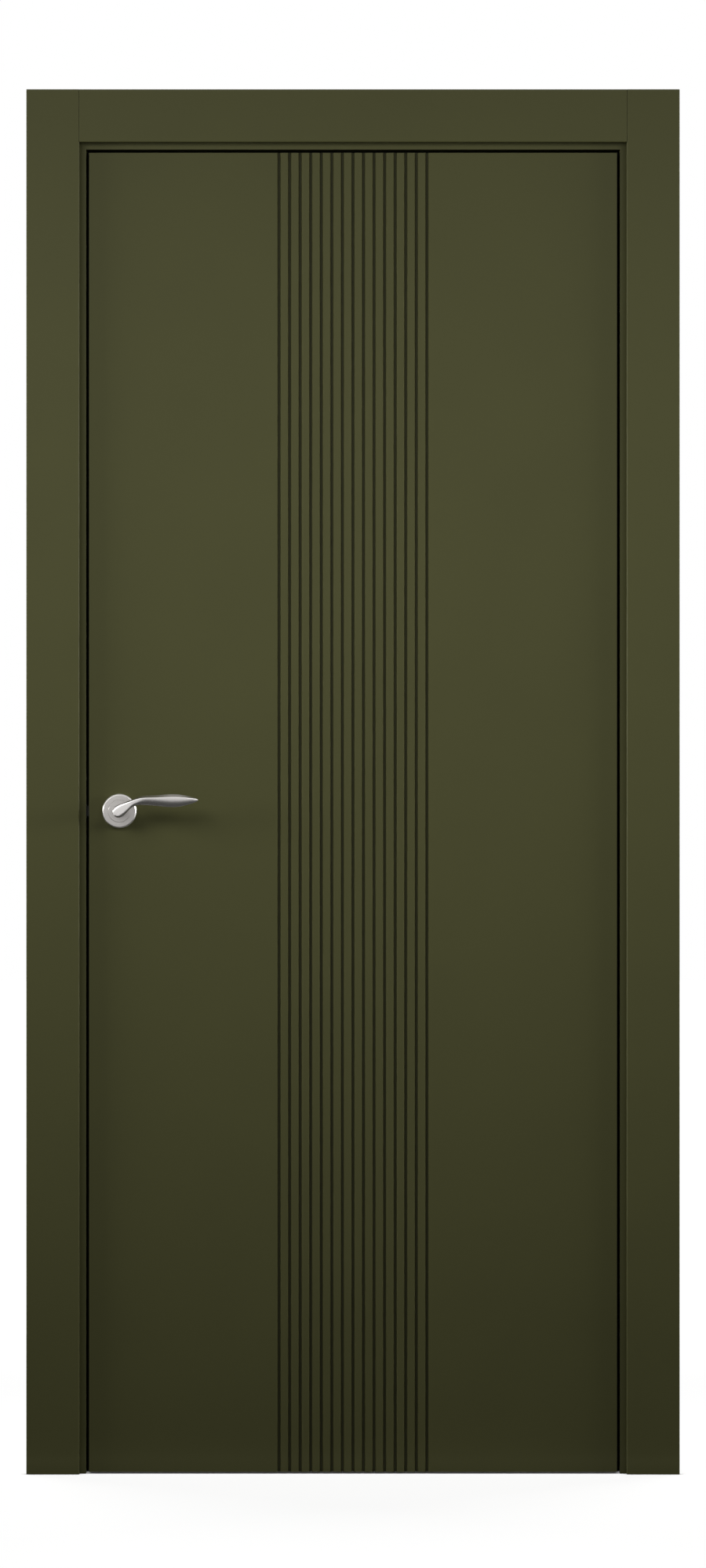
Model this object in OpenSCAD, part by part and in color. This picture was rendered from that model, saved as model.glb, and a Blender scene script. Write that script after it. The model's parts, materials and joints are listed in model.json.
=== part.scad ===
// Interior doorset: grooved flush leaf in a rebated lining with casings on both sides of the wall.
// Millimetres. X to the right, Y away from the pull side, Z up.
// Origin on the floor, in the middle of the doorway, on the mid plane of the leaf.

/* [Leaf] */
// Width of the leaf
leaf_w = 800; // [650:10:1000]
// Height of the leaf
leaf_h = 2000; // [1900:10:2200]
// Thickness of the leaf
leaf_t = 40; // [40:1:46]
// Thickness of each fibreboard skin
skin_t = 8; // [7:0.5:9]
// Thickness of the edge bands between the skins
band_t = 1; // [0.8:0.1:2]
// Width of the stiles inside the leaf
stile_w = 60; // [56:2:80]
// Height of the top and bottom rails
rail_h = 60; // [40:5:100]
// Width of the block behind the latch
lock_block_w = 50; // [40:1:52]
// Height of the block behind the latch
lock_block_h = 240; // [180:10:300]
// Diameter of the tubes in the chipboard core
core_tube_d = 14; // [10:1:16]
// Spacing of the tubes in the chipboard core
core_tube_pitch = 32; // [24:1:40]

/* [Grooves] */
// Number of upright grooves, centred on the leaf
groove_count = 15; // [5:2:17]
// Spacing of the grooves
groove_pitch = 16; // [12:0.5:18]
// Width of a groove at the face
groove_w = 6; // [4:0.5:8]
// Width of the flat at the bottom of a groove
groove_floor = 1.2; // [0.6:0.1:2]
// Depth of a groove
groove_depth = 4; // [2:0.5:5]

/* [Frame] */
// Gap between leaf and lining at each side
side_gap = 4.5; // [3:0.5:6]
// Gap between leaf and lining at the head
top_gap = 5; // [3:0.5:8]
// Gap between leaf and floor
floor_gap = 2.5; // [2:0.5:10]
// Thickness of the lining at the rebate
jamb_t = 32; // [30:1:45]
// Depth of the lining, equal to the wall thickness
jamb_depth = 75; // [75:5:160]
// How far the stop stands in from the rebate
stop_w = 10; // [8:0.5:12]
// Room for the seal between leaf and stop
seal_gap = 4; // [3.5:0.1:5]
// Free play between seal and closed leaf
seal_clear = 0.3; // [0.2:0.1:0.6]
// Width of the slot that holds the seal
seal_slot_w = 3; // [2.6:0.1:3.4]
// Height of the lower wall fixing
fix_low_z = 500; // [350:10:650]
// Height of the upper wall fixing
fix_high_z = 1500; // [1350:10:1600]
// Diameter of the wall fixing holes
fix_d = 8; // [6:0.5:10]

/* [Casings] */
// Width of a casing
casing_w = 80; // [60:5:120]
// Thickness of a casing
casing_t = 16; // [10:0.5:18]
// Strip of lining left in view beside the casing
reveal = 10; // [8:1:12]
// Chamfer on the face edges of a casing
casing_chamfer = 1; // [0.5:0.1:2]
// Width of the strip that bears on the wall
strip_w = 12; // [8:1:16]
// Depth of the relief behind a casing
relief = 1.5; // [1:0.1:3]
// Thickness of the casing tongue
tongue_t = 5; // [4:0.5:6]
// Length of the casing tongue
tongue_l = 12; // [8:1:12]
// Distance of the tongue from the inner edge
tongue_in = 10; // [9:0.5:10]
// Play around the tongue in its groove
tongue_clear = 0.2; // [0.1:0.05:0.4]

/* [Handle] */
// Height of the spindle above the floor
handle_h = 1004.5; // [950:0.5:1100]
// Distance of the spindle from the leaf edge
backset = 46; // [45:1:48]
// Diameter of the rose cover
rose_d = 52; // [50:1:56]
// Height of the rose cover on the leaf
rose_t = 8; // [7.5:0.5:10]
// Bevel of the rose cover rim
rose_bevel = 2; // [1:0.25:2.5]
// Diameter of the ring line on the rose cover
rose_ring_d = 34; // [28:1:38]
// Length of the lever from the spindle
lever_l = 120; // [105:5:140]
// Rise of the lever bar above the spindle
lever_rise = 16.2; // [12:0.2:20]
// Distance of the lever bar from the leaf
lever_reach = 50; // [44:1:58]
// Greatest height of the lever bar
lever_h = 20.5; // [19:0.5:22]
// Diameter of the lever collar
collar_d = 18; // [17.5:0.5:19]
// Side of the square spindle
spindle_s = 8; // [7:0.5:8]
// Play between spindle and its sockets
spindle_clear = 0.1; // [0.05:0.05:0.2]
// Running play of collar and follower, on the radius
run_clear = 0.08; // [0.05:0.01:0.1]

/* [Latch] */
// Throw of the bolt past the leaf edge
bolt_throw = 11; // [10:0.5:11.5]
// Height of the bolt
bolt_h = 16; // [12:1:16]
// Thickness of the bolt
bolt_t = 12; // [10:1:12]
// Play around the bolt
bolt_clear = 0.3; // [0.2:0.1:0.5]
// Length of the face plate
plate_l = 150; // [130:5:180]
// Width of the face plate
plate_w = 20; // [18:0.5:21]
// Thickness of the face plate
plate_t = 3; // [2:0.5:3]
// Length of the strike plate
strike_l = 130; // [120:5:160]

/* [Hinges] */
// Height of the lower hinge
hinge_low_z = 250; // [200:10:300]
// Distance of the upper hinge from the leaf top
hinge_top_drop = 250; // [200:10:300]
// Height of a hinge housing
hinge_h = 110; // [106:2:140]
// Depth of a hinge housing
hinge_d = 18; // [17.5:0.5:19]
// Sideways distance of a hinge pivot from the swing axis
pivot_u = 8; // [7.5:0.1:8.5]
// Distance of a hinge pivot behind the leaf face
pivot_v = 15; // [14.6:0.1:15.2]
// Diameter of the hinge pivot pins
pivot_d = 6; // [5:0.5:6]
// Diameter of the hinge elbow pin
elbow_d = 4; // [3.5:0.5:4.5]
// Running play of the hinge pins, on the radius
pin_clear = 0.06; // [0.03:0.01:0.1]

/* [Hidden] */
$fn = 64;
e = 1;
// lining planes
xr = leaf_w/2 + side_gap;
zb = floor_gap;
zt = floor_gap + leaf_h;
zr = zt + top_gap;
yf = -leaf_t/2;
yb = leaf_t/2;
ys = yb + seal_gap;
yr = yf + jamb_depth;
rear_reveal = reveal - stop_w;
tongue_end = 5;
fix_y = yf + 24;
mitre = 2*jamb_t;
// leaf planes
xl = leaf_w/2 - band_t;
xi = xl - stile_w;
cy = leaf_t/2 - skin_t;
// handle and latch
hx = -leaf_w/2 + backset;
hz = handle_h;
spindle_hole_d = 20;
base_t = rose_t - 2.5;
base_r = rose_d/2 - 2.5;
rose_screw_at = [11, 15.6];
follower_d = 20;
travel = 12;
finger_r = 20.6;
knob_r = 3;
knob_play = 0.7;
tail_low = 15;
tail_high = 30;
tail_end = backset + 13;
case_x = tail_end + 21;
case_y = 8;
case_wall = 1.5;
case_low = -15;
case_high = 35;
// hinge
swing_x = leaf_w/2 + side_gap/2;
hinge_z = [hinge_low_z, zt - hinge_top_drop];
mouth = [4.5, 35.5];
shell = [3, 37];
arm_w = 6.6;
web_step = 0.5;
boss_r = pivot_d/2 + 2.4;
elbow_r = elbow_d/2 + 2.4;
arm_half = 20.5;
core_half = 10;
pin_l = 2*arm_half + 15;
elbow = [0, 2*pivot_v];
// screws: head diameter, head height, shank diameter, length
hinge_screw = [8, 3, 4.2, 26];
latch_screw = [7, 1.8, 3.5, 25];
strike_screw = [7, 1.4, 3.5, 25];
corner_screw = [9, 3.5, 5, 60];
rose_screw = [6.8, 2.4, 3.2, 15.5];
screw_clear = 0.1;
screw_room = 0.8;
// colours
olive = "#4b4a31";
nickel = "#b9b7b2";
steel = "#8f9194";
zinc = "#7d7f80";
black = "#1f1f1d";
timber = "#c9a877";
board = "#a58a64";

// block between two corners, each range given as [from, to]
module slab(x, y, z)
  translate([x[0], y[0], z[0]])
    cube([x[1] - x[0], y[1] - y[0], z[1] - z[0]]);

// same thing on the latch side
module latch_side()
  mirror([1, 0, 0])
    children();

// same thing on the push side
module push_side()
  mirror([0, 1, 0])
    children();

// screw along Z, head flush at 0, with a hexagon recess
module screw(s)
  difference() {
    union() {
      translate([0, 0, -s[1]])
        cylinder(d = s[0], h = s[1]);
      translate([0, 0, -s[3]])
        cylinder(d = s[2], h = s[3]);
    }
    translate([0, 0, -0.6*s[1]])
      cylinder(d = 0.42*s[0], h = s[1], $fn = 6);
  }

// room for that screw
module screw_hole(s) {
  translate([0, 0, -s[1]])
    cylinder(d = s[0] + 2*screw_clear, h = s[1] + e);
  translate([0, 0, -s[3] - screw_room])
    cylinder(d = s[2] + 2*screw_clear, h = s[3] + screw_room);
}

// Lining

module lining_section()
  polygon([[0, yf], [jamb_t, yf], [jamb_t, yr], [-stop_w, yr], [-stop_w, ys], [0, ys]]);

module seal_section() {
  a = -0.35*stop_w;
  w = seal_slot_w/2 - 0.1;
  y0 = yb + seal_clear;
  polygon([[2 - stop_w, ys], [2 - stop_w, y0 + 1], [3 - stop_w, y0], [-1.5, y0], [-0.5, y0 + 1],
    [-0.5, ys], [a + w, ys], [a + w, ys + 7], [a - w, ys + 7], [a - w, ys]]);
}

// bar up the hinge side, ended by the mitre
module mitred_upright()
  difference() {
    translate([xr, 0, 0])
      linear_extrude(zr + jamb_t + 10)
        children();
    rotate([90, 0, 0])
      linear_extrude(4*jamb_depth, center = true)
        polygon([[xr - mitre, zr - mitre], [xr + mitre, zr + mitre], [xr - mitre, zr + mitre]]);
  }

// bar across the head, mitred at both ends
module mitred_head()
  difference() {
    translate([0, 0, zr])
      rotate([0, -90, 0])
        linear_extrude(2*(xr + jamb_t + 10), center = true)
          children();
    head_end();
    latch_side()
      head_end();
  }

module head_end()
  rotate([90, 0, 0])
    linear_extrude(4*jamb_depth, center = true)
      polygon([[xr - mitre, zr - mitre], [xr + mitre, zr + mitre], [xr + mitre, zr - mitre]]);

module seal_slot()
  translate([-0.35*stop_w - seal_slot_w/2, ys - e])
    square([seal_slot_w, 8 + e]);

module plain_jamb()
  difference() {
    mitred_upright()
      difference() {
        lining_section();
        seal_slot();
      }
    slab([xr + reveal + tongue_in - tongue_clear, xr + reveal + tongue_in + tongue_t + tongue_clear],
      [yf - e, yf + tongue_l + 0.5], [-e, zr - tongue_end + 1]);
    slab([xr + rear_reveal + tongue_in - tongue_clear, xr + rear_reveal + tongue_in + tongue_t + tongue_clear],
      [yr - tongue_l - 0.5, yr + e], [-e, zr - tongue_end + 1]);
    for (z = [fix_low_z, fix_high_z])
      translate([xr, fix_y, z])
        rotate([0, 90, 0])
          cylinder(d = fix_d, h = 4*jamb_t, center = true);
    corner_screw_holes();
  }

module hinge_jamb()
  color(olive)
    difference() {
      plain_jamb();
      hinge_rooms(1);
    }

module latch_jamb()
  color(olive)
    difference() {
      latch_side()
        plain_jamb();
      at_strike() {
        slab([-e, 2], [-16, 12], [-strike_l/2, strike_l/2]);
        slab([1, 17], [-10, 10], [-14, 14]);
        strike_screw_places()
          screw_hole(strike_screw);
      }
    }

module head_jamb() {
  w = xr - tongue_end + 1;
  color(olive)
    difference() {
      mitred_head()
        difference() {
          lining_section();
          seal_slot();
        }
      slab([-w, w], [yf - e, yf + tongue_l + 0.5],
        [zr + reveal + tongue_in - tongue_clear, zr + reveal + tongue_in + tongue_t + tongue_clear]);
      slab([-w, w], [yr - tongue_l - 0.5, yr + e],
        [zr + rear_reveal + tongue_in - tongue_clear, zr + rear_reveal + tongue_in + tongue_t + tongue_clear]);
      corner_screw_holes();
      latch_side()
        corner_screw_holes();
    }
}

module corner_screw_places()
  for (y = [fix_y, ys + 10])
    translate([xr + jamb_t, y, zr + jamb_t/2])
      rotate([0, 90, 0])
        children();

module corner_screw_holes()
  corner_screw_places()
    screw_hole(corner_screw);

module frame_corner_screws()
  color(zinc) {
    corner_screw_places()
      screw(corner_screw);
    latch_side()
      corner_screw_places()
        screw(corner_screw);
  }

module seal_hinge_side()
  color(black)
    mitred_upright()
      seal_section();

module seal_latch_side()
  color(black)
    latch_side()
      mitred_upright()
        seal_section();

module seal_head()
  color(black)
    mitred_head()
      seal_section();

// Casings

// a casing seen in its own section: inner edge at 0, back at 0, face at casing_t
module casing_section(seat)
  polygon([[0, 0], [seat, 0], [seat, relief], [casing_w - strip_w, relief], [casing_w - strip_w, 0],
    [casing_w, 0], [casing_w, casing_t - casing_chamfer], [casing_w - casing_chamfer, casing_t],
    [casing_chamfer, casing_t], [0, casing_t - casing_chamfer]]);

// length of casing with its tongue from t0 to t1
module casing(show, len, t0, t1) {
  linear_extrude(len)
    casing_section(jamb_t - show + 2);
  slab([tongue_in, tongue_in + tongue_t], [-tongue_l, e], [t0, t1]);
}

module side_casing(show)
  casing(show, zr + show + casing_w, 0, zr - tongue_end);

module head_casing(show)
  rotate([0, -90, 0])
    translate([0, 0, -xr - show])
      casing(show, 2*(xr + show), show + tongue_end, show + 2*xr - tongue_end);

module front_casing_hinge_side()
  color(olive)
    translate([xr + reveal, yf, 0])
      push_side()
        side_casing(reveal);

module front_casing_latch_side()
  latch_side()
    front_casing_hinge_side();

module front_casing_head()
  color(olive)
    translate([0, yf, zr + reveal])
      push_side()
        head_casing(reveal);

module rear_casing_hinge_side()
  color(olive)
    translate([xr + rear_reveal, yr, 0])
      side_casing(rear_reveal);

module rear_casing_latch_side()
  latch_side()
    rear_casing_hinge_side();

module rear_casing_head()
  color(olive)
    translate([0, yr, zr + rear_reveal])
      head_casing(rear_reveal);

// Leaf

module groove()
  translate([0, yf, zb - e])
    linear_extrude(leaf_h + 2*e)
      polygon([[-groove_w/2, -e], [groove_w/2, -e], [groove_w/2, 0], [groove_floor/2, groove_depth],
        [-groove_floor/2, groove_depth], [-groove_w/2, 0]]);

module skin()
  difference() {
    slab([-leaf_w/2, leaf_w/2], [yf, yf + skin_t], [zb, zt]);
    for (i = [0 : groove_count - 1])
      translate([(i - (groove_count - 1)/2)*groove_pitch, 0, 0])
        groove();
  }

module leaf_front_skin()
  color(olive)
    difference() {
      skin();
      handle_holes();
      hinge_rooms(-1);
    }

module leaf_back_skin()
  color(olive)
    difference() {
      push_side()
        skin();
      handle_holes();
      hinge_rooms(-1);
    }

module leaf_hinge_stile()
  color(timber)
    difference() {
      slab([xi, xl], [-cy, cy], [zb, zt]);
      hinge_rooms(-1);
    }

module leaf_latch_stile()
  color(timber)
    difference() {
      slab([-xl, -xi], [-cy, cy], [zb, zt]);
      latch_room();
      handle_holes();
    }

module leaf_top_rail()
  color(timber)
    slab([-xi, xi], [-cy, cy], [zt - rail_h, zt]);

module leaf_bottom_rail()
  color(timber)
    slab([-xi, xi], [-cy, cy], [zb, zb + rail_h]);

module lock_block_slab(y)
  slab([-xi, lock_block_w - xi], [-y, y], [hz - lock_block_h/2, hz + lock_block_h/2]);

module leaf_lock_block()
  color(timber)
    difference() {
      lock_block_slab(cy);
      latch_room();
      handle_holes();
    }

module leaf_core() {
  n = floor((2*xi - 10)/core_tube_pitch);
  color(board)
    difference() {
      slab([-xi, xi], [-cy, cy], [zb + rail_h, zt - rail_h]);
      lock_block_slab(cy + e);
      for (i = [0 : n - 1])
        translate([(i - (n - 1)/2)*core_tube_pitch, 0, zb + rail_h - e])
          cylinder(d = core_tube_d, h = leaf_h, $fn = 24);
    }
}

module hinge_edge_band()
  color(olive)
    difference() {
      slab([xl, leaf_w/2], [-cy, cy], [zb, zt]);
      hinge_rooms(-1);
    }

module latch_edge_band()
  color(olive)
    difference() {
      slab([-leaf_w/2, -xl], [-cy, cy], [zb, zt]);
      latch_room();
    }

// Concealed hinges: frame pivot, elbow, leaf pivot and swing axis make a rhombus at every angle

module at_hinge(z)
  translate([swing_x, yf, z])
    children();

// side 1 is the frame, side -1 the leaf
module hinge_side(side)
  if (side > 0)
    children();
  else
    mirror([1, 0, 0])
      children();

module housing_block()
  slab([side_gap/2, side_gap/2 + hinge_d], shell, [-hinge_h/2, hinge_h/2]);

module housing_screw_places()
  for (z = [-1, 1])
    translate([side_gap/2, 20, z*(hinge_h/2 - 14)])
      rotate([0, -90, 0])
        children();

// all the wood cut away for the hinges of one side
module hinge_rooms(side)
  for (z = hinge_z)
    at_hinge(z)
      hinge_side(side) {
        housing_block();
        slab([side_gap/2 - e, side_gap/2 + e], shell, [-hinge_h/2, hinge_h/2]);
        housing_screw_places()
          screw_hole(hinge_screw);
      }

module housing(side)
  color(steel)
    hinge_side(side)
      difference() {
        housing_block();
        slab([side_gap/2 - e, pivot_u + boss_r + 1.2], mouth, [-22, 22]);
        translate([pivot_u, pivot_v, 0])
          cylinder(d = pivot_d + 2*pin_clear, h = pin_l + 0.4, center = true);
        housing_screw_places()
          screw_hole(hinge_screw);
      }

module upper_hinge_frame_housing()
  at_hinge(hinge_z[1])
    housing(1);

module lower_hinge_frame_housing()
  at_hinge(hinge_z[0])
    housing(1);

module upper_hinge_leaf_housing()
  at_hinge(hinge_z[1])
    housing(-1);

module lower_hinge_leaf_housing()
  at_hinge(hinge_z[0])
    housing(-1);

module housing_screws(side)
  color(zinc)
    for (z = hinge_z)
      at_hinge(z)
        hinge_side(side)
          housing_screw_places()
            screw(hinge_screw);

module hinge_frame_screws()
  housing_screws(1);

module hinge_leaf_screws()
  housing_screws(-1);

module pivot_pins(side)
  color(steel)
    for (z = hinge_z)
      at_hinge(z)
        hinge_side(side)
          translate([pivot_u, pivot_v, 0])
            cylinder(d = pivot_d, h = pin_l, center = true);

module hinge_frame_pins()
  pivot_pins(1);

module hinge_leaf_pins()
  pivot_pins(-1);

// web of the arm from pivot to elbow, a little thinner than the eye at its end
module arm_plate(z0, h)
  translate([0, 0, z0]) {
    translate([pivot_u, pivot_v, web_step])
      rotate([0, 0, atan2(elbow[1] - pivot_v, elbow[0] - pivot_u)])
        translate([0, -arm_w/2, 0])
          cube([norm(elbow - [pivot_u, pivot_v]), arm_w, h - 2*web_step]);
    translate([elbow[0], elbow[1], 0])
      cylinder(r = elbow_r, h = h);
  }

module arm_bores(elbow_bore)
  union() {
    translate([pivot_u, pivot_v, 0])
      cylinder(d = pivot_d + 2*pin_clear, h = 60, center = true);
    translate([elbow[0], elbow[1], 0])
      cylinder(d = elbow_bore, h = 60, center = true);
  }

module arm_boss()
  translate([pivot_u, pivot_v, 0])
    cylinder(r = boss_r, h = 2*arm_half, center = true);

// frame arm: one plate in the middle
module frame_arm()
  color(steel)
    difference() {
      union() {
        arm_boss();
        arm_plate(-core_half, 2*core_half);
      }
      arm_bores(elbow_d + 2*pin_clear);
    }

// leaf arm: a fork around the frame arm
module leaf_arm()
  color(steel)
    mirror([1, 0, 0])
      difference() {
        union() {
          arm_boss();
          arm_plate(core_half + 0.5, arm_half - core_half - 0.5);
          arm_plate(-arm_half, arm_half - core_half - 0.5);
        }
        arm_bores(elbow_d + 0.02);
      }

module upper_hinge_frame_arm()
  at_hinge(hinge_z[1])
    frame_arm();

module lower_hinge_frame_arm()
  at_hinge(hinge_z[0])
    frame_arm();

module upper_hinge_leaf_arm()
  at_hinge(hinge_z[1])
    leaf_arm();

module lower_hinge_leaf_arm()
  at_hinge(hinge_z[0])
    leaf_arm();

module hinge_elbow_pins()
  color(steel)
    for (z = hinge_z)
      at_hinge(z)
        translate([elbow[0], elbow[1], 0])
          cylinder(d = elbow_d, h = 2*arm_half, center = true);

// Latch, measured from the leaf edge at spindle height

module at_latch()
  translate([-leaf_w/2, 0, hz])
    children();

module latch_screw_places()
  for (z = [-1, 1])
    translate([0, 0, z*(plate_l/2 - 12)])
      rotate([0, -90, 0])
        children();

// all the wood cut away for the latch
module latch_room()
  at_latch() {
    slab([-e, plate_t], [-plate_w/2, plate_w/2], [-plate_l/2, plate_l/2]);
    slab([plate_t - e, case_x], [-case_y, case_y], [case_low, case_high]);
    latch_screw_places()
      screw_hole(latch_screw);
  }

module bolt_window(x0, x1)
  slab([x0, x1], [-bolt_t/2 - bolt_clear, bolt_t/2 + bolt_clear],
    [-bolt_h/2 - bolt_clear, bolt_h/2 + bolt_clear]);

module latch_case()
  color(zinc)
    at_latch()
      difference() {
        slab([plate_t, case_x], [-case_y, case_y], [case_low, case_high]);
        slab([plate_t + case_wall, case_x - case_wall], [case_wall - case_y, case_y - case_wall],
          [case_low + case_wall, case_high - case_wall]);
        bolt_window(plate_t - e, plate_t + case_wall + e);
        translate([backset, 0, 0])
          rotate([90, 0, 0])
            cylinder(d = follower_d + 2*run_clear, h = 4*case_y, center = true);
      }

module latch_faceplate()
  color(nickel)
    at_latch()
      difference() {
        slab([0, plate_t], [-plate_w/2, plate_w/2], [-plate_l/2, plate_l/2]);
        bolt_window(-e, plate_t + e);
        latch_screw_places()
          screw_hole(latch_screw);
      }

module latch_screws()
  color(zinc)
    at_latch()
      latch_screw_places()
        screw(latch_screw);

// bolt with a bevel on the closing side, and a tail that the follower finger draws back
module latch_bolt() {
  b = bolt_t/2;
  color(black)
    at_latch() {
      translate([0, 0, -bolt_h/2])
        linear_extrude(bolt_h)
          polygon([[-bolt_throw, -b], [22, -b], [22, b], [-2, b], [-bolt_throw, b - 9]]);
      slab([16, 22], [-3, 3], [-bolt_h/2, tail_high]);
      difference() {
        slab([17, tail_end], [-3, 3], [tail_low, tail_high]);
        slab([backset - knob_r - knob_play, backset + knob_r + knob_play], [-4, 4],
          [tail_low - e, finger_r + knob_r + 1]);
      }
    }
}

module latch_spring() {
  n = 8;
  wire = 4;
  x0 = tail_end + 0.2;
  step = (case_x - case_wall - 0.2 - x0)/n;
  low = tail_low + 2;
  high = tail_high - 2 - wire;
  color(steel)
    at_latch()
      rotate([90, 0, 0])
        linear_extrude(5, center = true)
          polygon(concat(
            [for (i = [0 : n]) [x0 + i*step, i % 2 == 0 ? low : high]],
            [for (i = [n : -1 : 0]) [x0 + i*step, wire + (i % 2 == 0 ? low : high)]]));
}

module at_strike()
  translate([-xr, 0, hz])
    mirror([1, 0, 0])
      children();

module strike_screw_places()
  for (z = [-1, 1])
    translate([0, -2, z*(strike_l/2 - 14)])
      rotate([0, -90, 0])
        children();

module strike_plate()
  color(nickel)
    at_strike()
      difference() {
        slab([0, 2], [-16, 12], [-strike_l/2, strike_l/2]);
        slab([-e, 3], [-bolt_t/2 - 1, bolt_t/2 + 1], [-bolt_h/2 - 2, bolt_h/2 + 2]);
        strike_screw_places()
          screw_hole(strike_screw);
      }

module strike_box()
  color(black)
    at_strike()
      difference() {
        slab([2, 17], [-10, 10], [-14, 14]);
        slab([1, 15.5], [-8.5, 8.5], [-12, 12]);
      }

module strike_screws()
  color(zinc)
    at_strike()
      strike_screw_places()
        screw(strike_screw);

// Handle, measured from the leaf face: x right, y up, z out

module at_handle(side)
  translate([hx, 0, hz])
    if (side < 0)
      translate([0, yf, 0])
        rotate([90, 0, 0])
          children();
    else
      push_side()
        translate([0, yf, 0])
          rotate([90, 0, 0])
            children();

module rose_screw_places()
  for (s = [-1, 1])
    translate([s*rose_screw_at[0], s*rose_screw_at[1], base_t])
      children();

// holes through skins, stile and block for spindle and rose screws
module handle_holes() {
  translate([hx, 0, hz])
    rotate([90, 0, 0])
      cylinder(d = spindle_hole_d, h = leaf_t + 2*e, center = true);
  for (side = [-1, 1])
    at_handle(side)
      rose_screw_places()
        screw_hole(rose_screw);
}

module rose_base()
  color(zinc)
    difference() {
      cylinder(r = base_r, h = base_t);
      translate([0, 0, -e])
        cylinder(d = collar_d + 2*run_clear, h = base_t + 2*e);
      rose_screw_places()
        screw_hole(rose_screw);
    }

module rose_cover() {
  r = rose_d/2;
  q = rose_ring_d/2;
  c = collar_d/2 + 0.5;
  color(nickel)
    rotate_extrude()
      polygon([[r, 0], [r, rose_t - rose_bevel], [r - rose_bevel, rose_t], [q + 0.4, rose_t],
        [q, rose_t - 0.5], [q - 0.4, rose_t], [c, rose_t], [c, base_t + 0.6],
        [base_r + 0.4, base_t + 0.6], [base_r + 0.4, 0]]);
}

module front_rose_base()
  at_handle(-1)
    rose_base();

module rear_rose_base()
  at_handle(1)
    rose_base();

module front_rose_cover()
  at_handle(-1)
    rose_cover();

module rear_rose_cover()
  at_handle(1)
    rose_cover();

module rose_screws()
  color(zinc)
    for (side = [-1, 1])
      at_handle(side)
        rose_screw_places()
          screw(rose_screw);

module spindle()
  color(steel)
    translate([hx, 0, hz])
      slab([-spindle_s/2, spindle_s/2], [yf - 30, yb + 30], [-spindle_s/2, spindle_s/2]);

module spindle_socket(len)
  translate([0, 0, len/2])
    cube([spindle_s + 2*spindle_clear, spindle_s + 2*spindle_clear, len], center = true);

module latch_follower()
  color(zinc)
    translate([hx, 0, hz])
      rotate([90, 0, 0])
        difference() {
          union() {
            cylinder(d = follower_d, h = 2*case_y, center = true);
            slab([-1.2, 1.2], [follower_d/2 - 2, finger_r], [-2.8, 2.8]);
            translate([0, finger_r, 0])
              cylinder(r = knob_r, h = 5.6, center = true);
          }
          translate([0, 0, -20])
            spindle_socket(40);
        }

// lever: shares of the lever length from the spindle, and half heights and half depths as shares of lever_h
lever_half_h = [[0, 0.43], [0.04, 0.415], [0.08, 0.355], [0.12, 0.295], [0.16, 0.255], [0.2, 0.265], [0.25, 0.305],
  [0.29, 0.345], [0.33, 0.37], [0.42, 0.39], [0.52, 0.435], [0.63, 0.5], [0.7, 0.5], [0.75, 0.485], [0.83, 0.4],
  [0.88, 0.31], [0.92, 0.215], [0.96, 0.13], [1, 0.03]];
lever_half_d = [[0, 0.3], [0.12, 0.28], [0.25, 0.25], [0.5, 0.24], [0.72, 0.23], [0.86, 0.18], [0.93, 0.13],
  [1, 0.03]];
// where the ridged section of the bar takes over from the squarish one of the neck
lever_ridged = [[0.1, 0], [0.32, 1]];
// depth of the ridged section by the angle round it, from the top down the front
ridge_section = [[0, -0.75], [20, -0.5], [40, 0.1], [60, 1], [80, 0.94], [100, 0.82], [120, 0.64], [140, 0.42],
  [160, 0.18], [180, -0.05], [200, -0.35], [220, -0.6], [240, -0.78], [260, -0.9], [280, -0.97], [300, -1],
  [320, -1], [340, -0.93]];
// steps of the round end at the spindle, as shares of its radius
bulb_steps = [1, 0.965, 0.85, 0.67, 0.37];
bulb_r = lever_half_h[0][1]*lever_h;
lever_sides = 18;

function bend(p, t) = pow(1 - t, 3)*p[0] + 3*pow(1 - t, 2)*t*p[1] + 3*(1 - t)*t*t*p[2] + t*t*t*p[3];
function unit(v) = v/norm(v);
function share(p) = min(1, max(0, p[0]/lever_l));
function mix(a, b, t) = a + (b - a)*t;
function boxy(v) = sign(v)*pow(abs(v), 0.6);

lever_bend = [[0, -0.03*lever_rise, 0.95*lever_reach], [0.18*lever_l, 0.89*lever_rise, 0.96*lever_reach],
  [0.23*lever_l, 0.975*lever_rise, 0.97*lever_reach], [0.37*lever_l, lever_rise, 0.97*lever_reach]];
neck_way = unit([lever_bend[1][0], lever_bend[1][1] - lever_bend[0][1], 0]);
lever_path = concat(
  [for (d = bulb_steps) lever_bend[0] - d*bulb_r*neck_way],
  [for (i = [0 : 10]) bend(lever_bend, i/10)],
  [for (i = [1 : 14])
    let (s = i/14)
    [lever_l*(0.37 + 0.63*s), lever_rise - 0.4*sin(180*s) + 0.8*pow(s, 4), (0.97 - 0.06*s*s)*lever_reach]]);
lever_last = len(lever_path) - 1;

function along(i) = unit(lever_path[min(lever_last, i + 1)] - lever_path[max(0, i - 1)]);
function half_h(i) = i < len(bulb_steps)
  ? bulb_r*sqrt(1 - pow(bulb_steps[i], 2)) + 0.015*lever_h
  : lever_h*lookup(share(lever_path[i]), lever_half_h);
function half_d(i) = i < len(bulb_steps)
  ? lever_h*lever_half_d[0][1]*(1 - 0.27*pow(bulb_steps[i], 8))
  : lever_h*lookup(share(lever_path[i]), lever_half_d);
function lever_ring(i) =
  let (p = lever_path[i])
  let (t = along(i))
  let (h = unit([-t[1], t[0], 0]))
  let (g = cross(t, h))
  let (r = lookup(share(p), lever_ridged))
  [for (k = [0 : lever_sides - 1])
    let (w = 360*k/lever_sides)
    p + half_h(i)*mix(boxy(cos(w)), cos(w), r)*h + half_d(i)*mix(boxy(sin(w)), lookup(w, ridge_section), r)*g];

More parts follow.
